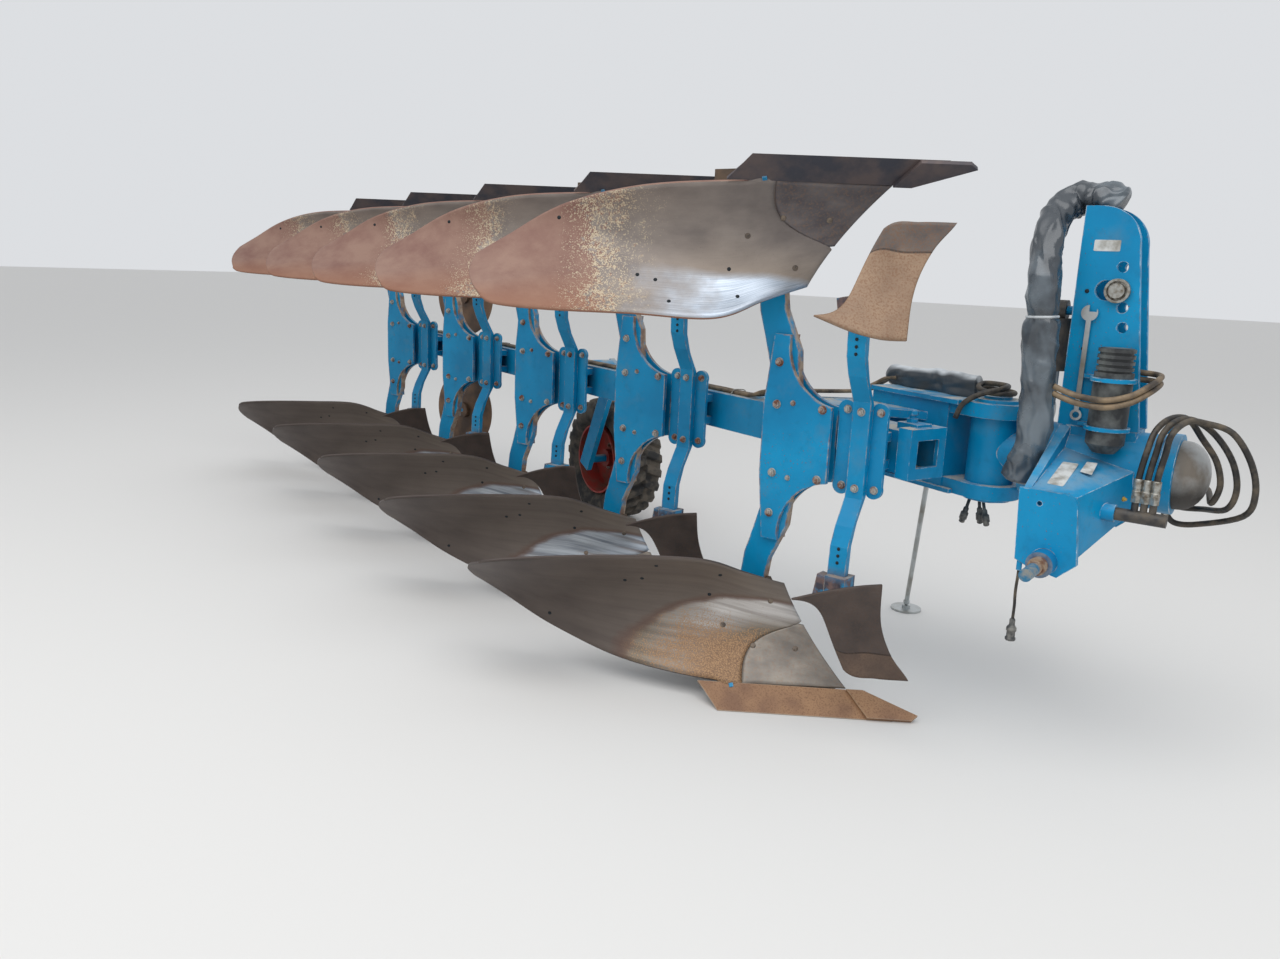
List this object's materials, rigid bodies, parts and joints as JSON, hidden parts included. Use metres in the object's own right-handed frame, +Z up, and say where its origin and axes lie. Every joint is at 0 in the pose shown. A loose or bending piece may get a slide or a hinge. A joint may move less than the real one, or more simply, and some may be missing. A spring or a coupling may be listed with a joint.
{
  "type": "mounted reversible moldboard plough",
  "caption": "Mounted reversible moldboard plough with mirrored upper and lower bodies on a diagonal beam, turnover headstock, depth wheel and parking stand.",
  "frame": {"origin": "on the ground under the middle of the bounding box of the plough without its free hoses and cable", "axes": "+X the direction of travel, +Y the plough's left, +Z up"},
  "size_m": [5.8859, 2.48, 1.7795],
  "materials": {
    "blue_paint": "weathered gloss blue with dust and chips",
    "moldboard_steel": "soil-polished steel with rust bloom",
    "share_steel": "worn steel with light tan rust",
    "rusty_steel": "even orange-brown rust",
    "dark_steel": "soil-stained dark steel",
    "tyre_rubber": "dusty black rubber",
    "red_paint": "faded red paint",
    "bright_steel": "plated steel, dulled",
    "grey_cap": "dirty grey paint",
    "black_paint": "greasy black paint",
    "black_plastic": "dusty black plastic",
    "sleeve_fabric": "creased coated fabric",
    "hose_rubber": "dusty rubber"
  },
  "bodies": {
    "headstock": {"headstock_body": "blue_paint", "end_plates": "blue_paint", "lower_link_pins": "blue_paint", "tower": "blue_paint", "top_link_pin": "bright_steel", "hub_cap": "grey_cap", "valve": "black_paint", "canister": "black_plastic", "canister_rings": "blue_paint", "spanner": "bright_steel", "hose_hook": "blue_paint", "hose_sleeve": "sleeve_fabric", "front_hoses": "hose_rubber", "wrap_hoses": "hose_rubber", "hanging_cable": "hose_rubber", "cable_plug": "black_plastic"},
    "frame": {"main_beam": "blue_paint", "beam_end": "blue_paint", "swing_arm": "blue_paint", "arm_pivot": "blue_paint", "turnover_shaft": "blue_paint", "leg_consoles": "blue_paint", "leg_plates_1": "blue_paint", "leg_plates_2": "blue_paint", "leg_plates_3": "blue_paint", "leg_plates_4": "blue_paint", "leg_plates_5": "blue_paint", "lower_stalks": "blue_paint", "upper_stalks": "blue_paint", "frogs": "dark_steel", "landsides": "dark_steel", "moldboards_1": "moldboard_steel", "moldboards_2": "moldboard_steel", "moldboards_3": "moldboard_steel", "moldboards_4": "moldboard_steel", "moldboards_5": "moldboard_steel", "shins": "moldboard_steel", "share_blades": "share_steel", "share_points": "share_steel", "skimmer_brackets": "blue_paint", "skimmer_stalks": "blue_paint", "skimmer_boards": "rusty_steel", "disc_brackets": "blue_paint", "wheel_bracket": "blue_paint", "stand_bracket": "blue_paint", "arm_sleeve": "sleeve_fabric"},
    "lower_disc": {"lower_disc": "rusty_steel"},
    "upper_disc": {"upper_disc": "rusty_steel"},
    "wheel_arm": {"wheel_arm": "blue_paint"},
    "wheel": {"tyre": "tyre_rubber", "wheel_rim": "red_paint"},
    "stand": {"stand_rod": "bright_steel", "stand_foot": "bright_steel"},
    "turnover_barrel": {"turnover_barrel": "black_paint"},
    "turnover_rod": {"turnover_rod": "bright_steel"}
  },
  "joints": [
    {"name": "turnover", "type": "hinge", "parent": "headstock", "child": "frame", "pos_m": [2.52935, -0.12208, 0.89], "axis": [1, 0, 0], "range_deg": [0, 180]},
    {"name": "wheel_swing", "type": "hinge", "parent": "frame", "child": "wheel_arm", "pos_m": [-0.07002, 0.71255, 0.89], "axis": [0.3443, 0.9389, 0], "range_deg": [0, 130]},
    {"name": "wheel_spin", "type": "hinge", "parent": "wheel_arm", "child": "wheel", "pos_m": [-0.24139, 0.97137, 0.35], "axis": [0.3443, 0.9389, 0], "continuous": true},
    {"name": "stand_swing", "type": "hinge", "parent": "frame", "child": "stand", "pos_m": [1.91835, 0.17992, 0.78], "axis": [1, 0, 0], "range_deg": [0, 60]},
    {"name": "lower_disc_spin", "type": "hinge", "parent": "frame", "child": "lower_disc", "pos_m": [-1.15465, 0.65492, 0.55], "axis": [0, 1, 0], "continuous": true},
    {"name": "upper_disc_spin", "type": "hinge", "parent": "frame", "child": "upper_disc", "pos_m": [-1.15465, 0.65492, 1.23], "axis": [0, 1, 0], "continuous": true},
    {"name": "cylinder_swing", "type": "hinge", "parent": "headstock", "child": "turnover_barrel", "pos_m": [2.39435, -0.12208, 1.36], "axis": [1, 0, 0], "range_deg": [-12, 12]},
    {"name": "cylinder_stroke", "type": "slide", "parent": "turnover_barrel", "child": "turnover_rod", "axis": [0, 0, -1], "range_m": [-0.02, 0]}
  ]
}
